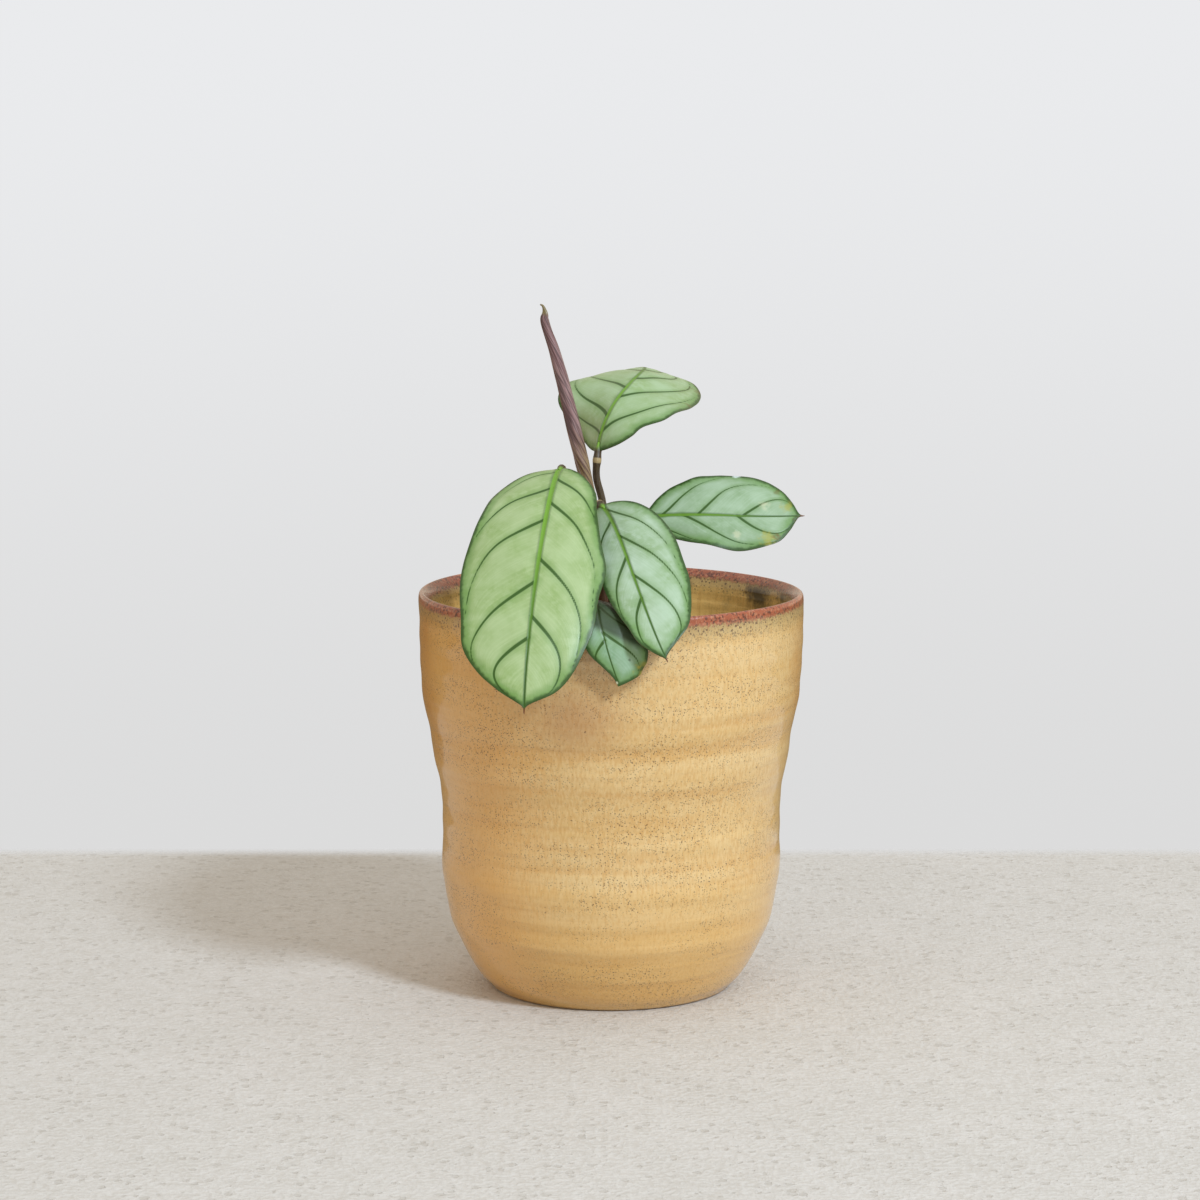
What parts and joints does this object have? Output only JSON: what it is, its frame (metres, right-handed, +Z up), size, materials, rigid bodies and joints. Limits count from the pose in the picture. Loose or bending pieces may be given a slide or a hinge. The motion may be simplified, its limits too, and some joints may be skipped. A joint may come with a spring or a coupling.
{
  "type": "potted ctenanthe plant",
  "caption": "Young ctenanthe with broad silvery veined leaves and one rolled leaf, growing from soil in a round ochre-glazed stoneware pot.",
  "frame": {"origin": "centre of the pot's flat bottom", "axes": "+Z up through the pot's axis, -Y towards the front, where the leaves hang over the rim, +X to the right seen from the front"},
  "size_m": [0.1002, 0.1241, 0.179],
  "materials": {
    "ochre_glaze": "glossy ochre glaze with iron specks over stoneware, bare red-brown rim",
    "soil": "rough, crumbled, dark brown",
    "stem_skin": "satin brown-purple stalk, tan where it is sheathed",
    "leaf_underside": "satin purple-brown leaf underside",
    "leaf_blade": "satin silvery green with a dark margin and dark green veins"
  },
  "bodies": {
    "root": {"pot": "ochre_glaze", "potting_soil": "soil", "stems": "stem_skin", "rolled_leaf": "leaf_underside", "leaf_front_large": "leaf_blade", "leaf_front_centre": "leaf_blade", "leaf_front_small": "leaf_blade", "leaf_right": "leaf_blade", "leaf_back_top": "leaf_blade"}
  },
  "joints": []
}
